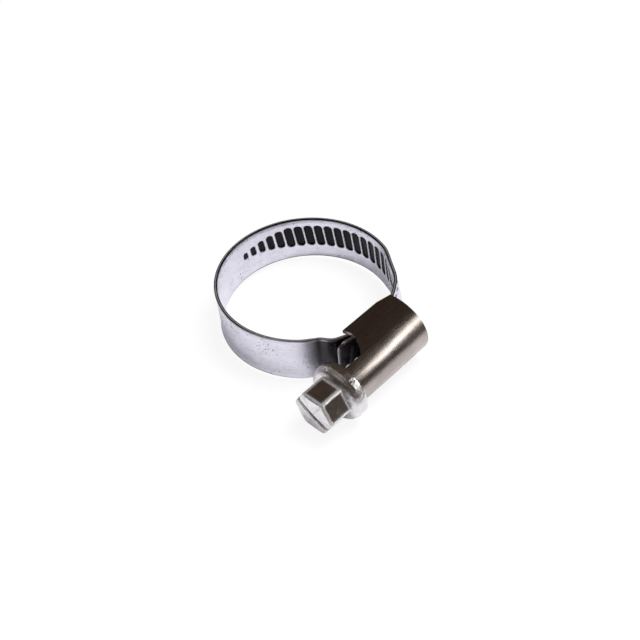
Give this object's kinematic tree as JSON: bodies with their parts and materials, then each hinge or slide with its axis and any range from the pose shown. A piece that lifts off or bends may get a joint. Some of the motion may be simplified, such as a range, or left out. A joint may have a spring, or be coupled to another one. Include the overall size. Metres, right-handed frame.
{
  "type": "hose clamp",
  "caption": "Worm-drive hose clamp: an embossed steel band closed into a ring by a slotted, flanged hexagon screw in a folded housing.",
  "frame": {"origin": "on the hose's axis, half way up the band", "axes": "+Z along the hose's axis, +X along the screw from its head into the housing, the housing at -Y"},
  "size_m": [0.0351, 0.0405, 0.0108],
  "materials": {
    "band_steel": "bright rolled steel strip, lightly marked",
    "housing_steel": "smooth dark polished sheet",
    "screw_zinc": "bright zinc plating on a cold-formed screw"
  },
  "bodies": {
    "base": {"housing": "housing_steel", "band_fixed_end": "band_steel"},
    "screw": {"worm_screw": "screw_zinc"},
    "band_length_1": {"band_arc_1": "band_steel"},
    "band_length_2": {"band_arc_2": "band_steel"},
    "band_length_3": {"band_arc_3": "band_steel"},
    "band_length_4": {"band_arc_4": "band_steel"},
    "band_length_5": {"band_arc_5": "band_steel"},
    "band_length_6": {"band_arc_6": "band_steel"},
    "band_length_7": {"band_arc_7": "band_steel"},
    "band_length_8": {"band_arc_8": "band_steel"},
    "band_tail": {"band_free_end": "band_steel"}
  },
  "joints": [
    {"name": "screw_turn", "type": "hinge", "parent": "base", "child": "screw", "pos_m": [0, -0.0195, 0], "axis": [1, 0, 0], "range_deg": [-1080, 720]},
    {"name": "band_bend_1", "type": "hinge", "parent": "base", "child": "band_length_1", "pos_m": [-0.01027, -0.01141, 0], "axis": [0, 0, 1], "range_deg": [-1.93, 2.9]},
    {"name": "band_bend_2", "type": "hinge", "parent": "band_length_1", "child": "band_length_2", "pos_m": [-0.01485, -0.00388, 0], "axis": [0, 0, 1], "range_deg": [-1.58, 2.36]},
    {"name": "band_bend_3", "type": "hinge", "parent": "band_length_2", "child": "band_length_3", "pos_m": [-0.01454, 0.00493, 0], "axis": [0, 0, 1], "range_deg": [-1.32, 1.98]},
    {"name": "band_bend_4", "type": "hinge", "parent": "band_length_3", "child": "band_length_4", "pos_m": [-0.00943, 0.01211, 0], "axis": [0, 0, 1], "range_deg": [-1.15, 1.72]},
    {"name": "band_bend_5", "type": "hinge", "parent": "band_length_4", "child": "band_length_5", "pos_m": [-0.00122, 0.0153, 0], "axis": [0, 0, 1], "range_deg": [-0.99, 1.48]},
    {"name": "band_bend_6", "type": "hinge", "parent": "band_length_5", "child": "band_length_6", "pos_m": [0.00621, 0.01404, 0], "axis": [0, 0, 1], "range_deg": [-0.88, 1.31]},
    {"name": "band_bend_7", "type": "hinge", "parent": "band_length_6", "child": "band_length_7", "pos_m": [0.01321, 0.00782, 0], "axis": [0, 0, 1], "range_deg": [-0.96, 1.43]},
    {"name": "band_bend_8", "type": "hinge", "parent": "band_length_7", "child": "band_length_8", "pos_m": [0.01534, 0.00059, 0], "axis": [0, 0, 1], "range_deg": [-1.33, 2]},
    {"name": "band_bend_9", "type": "hinge", "parent": "band_length_8", "child": "band_tail", "pos_m": [0.01285, -0.00844, 0], "axis": [0, 0, 1], "range_deg": [-1.95, 2.92]}
  ],
  "couplings": [
    {"joint": "band_bend_1", "follows": "screw_turn", "ratio": -0.0026774},
    {"joint": "band_bend_2", "follows": "screw_turn", "ratio": -0.0021818},
    {"joint": "band_bend_3", "follows": "screw_turn", "ratio": -0.0018293},
    {"joint": "band_bend_4", "follows": "screw_turn", "ratio": -0.0015843},
    {"joint": "band_bend_5", "follows": "screw_turn", "ratio": -0.0013617},
    {"joint": "band_bend_6", "follows": "screw_turn", "ratio": -0.0012115},
    {"joint": "band_bend_7", "follows": "screw_turn", "ratio": -0.00132},
    {"joint": "band_bend_8", "follows": "screw_turn", "ratio": -0.0018456},
    {"joint": "band_bend_9", "follows": "screw_turn", "ratio": -0.0026971}
  ]
}
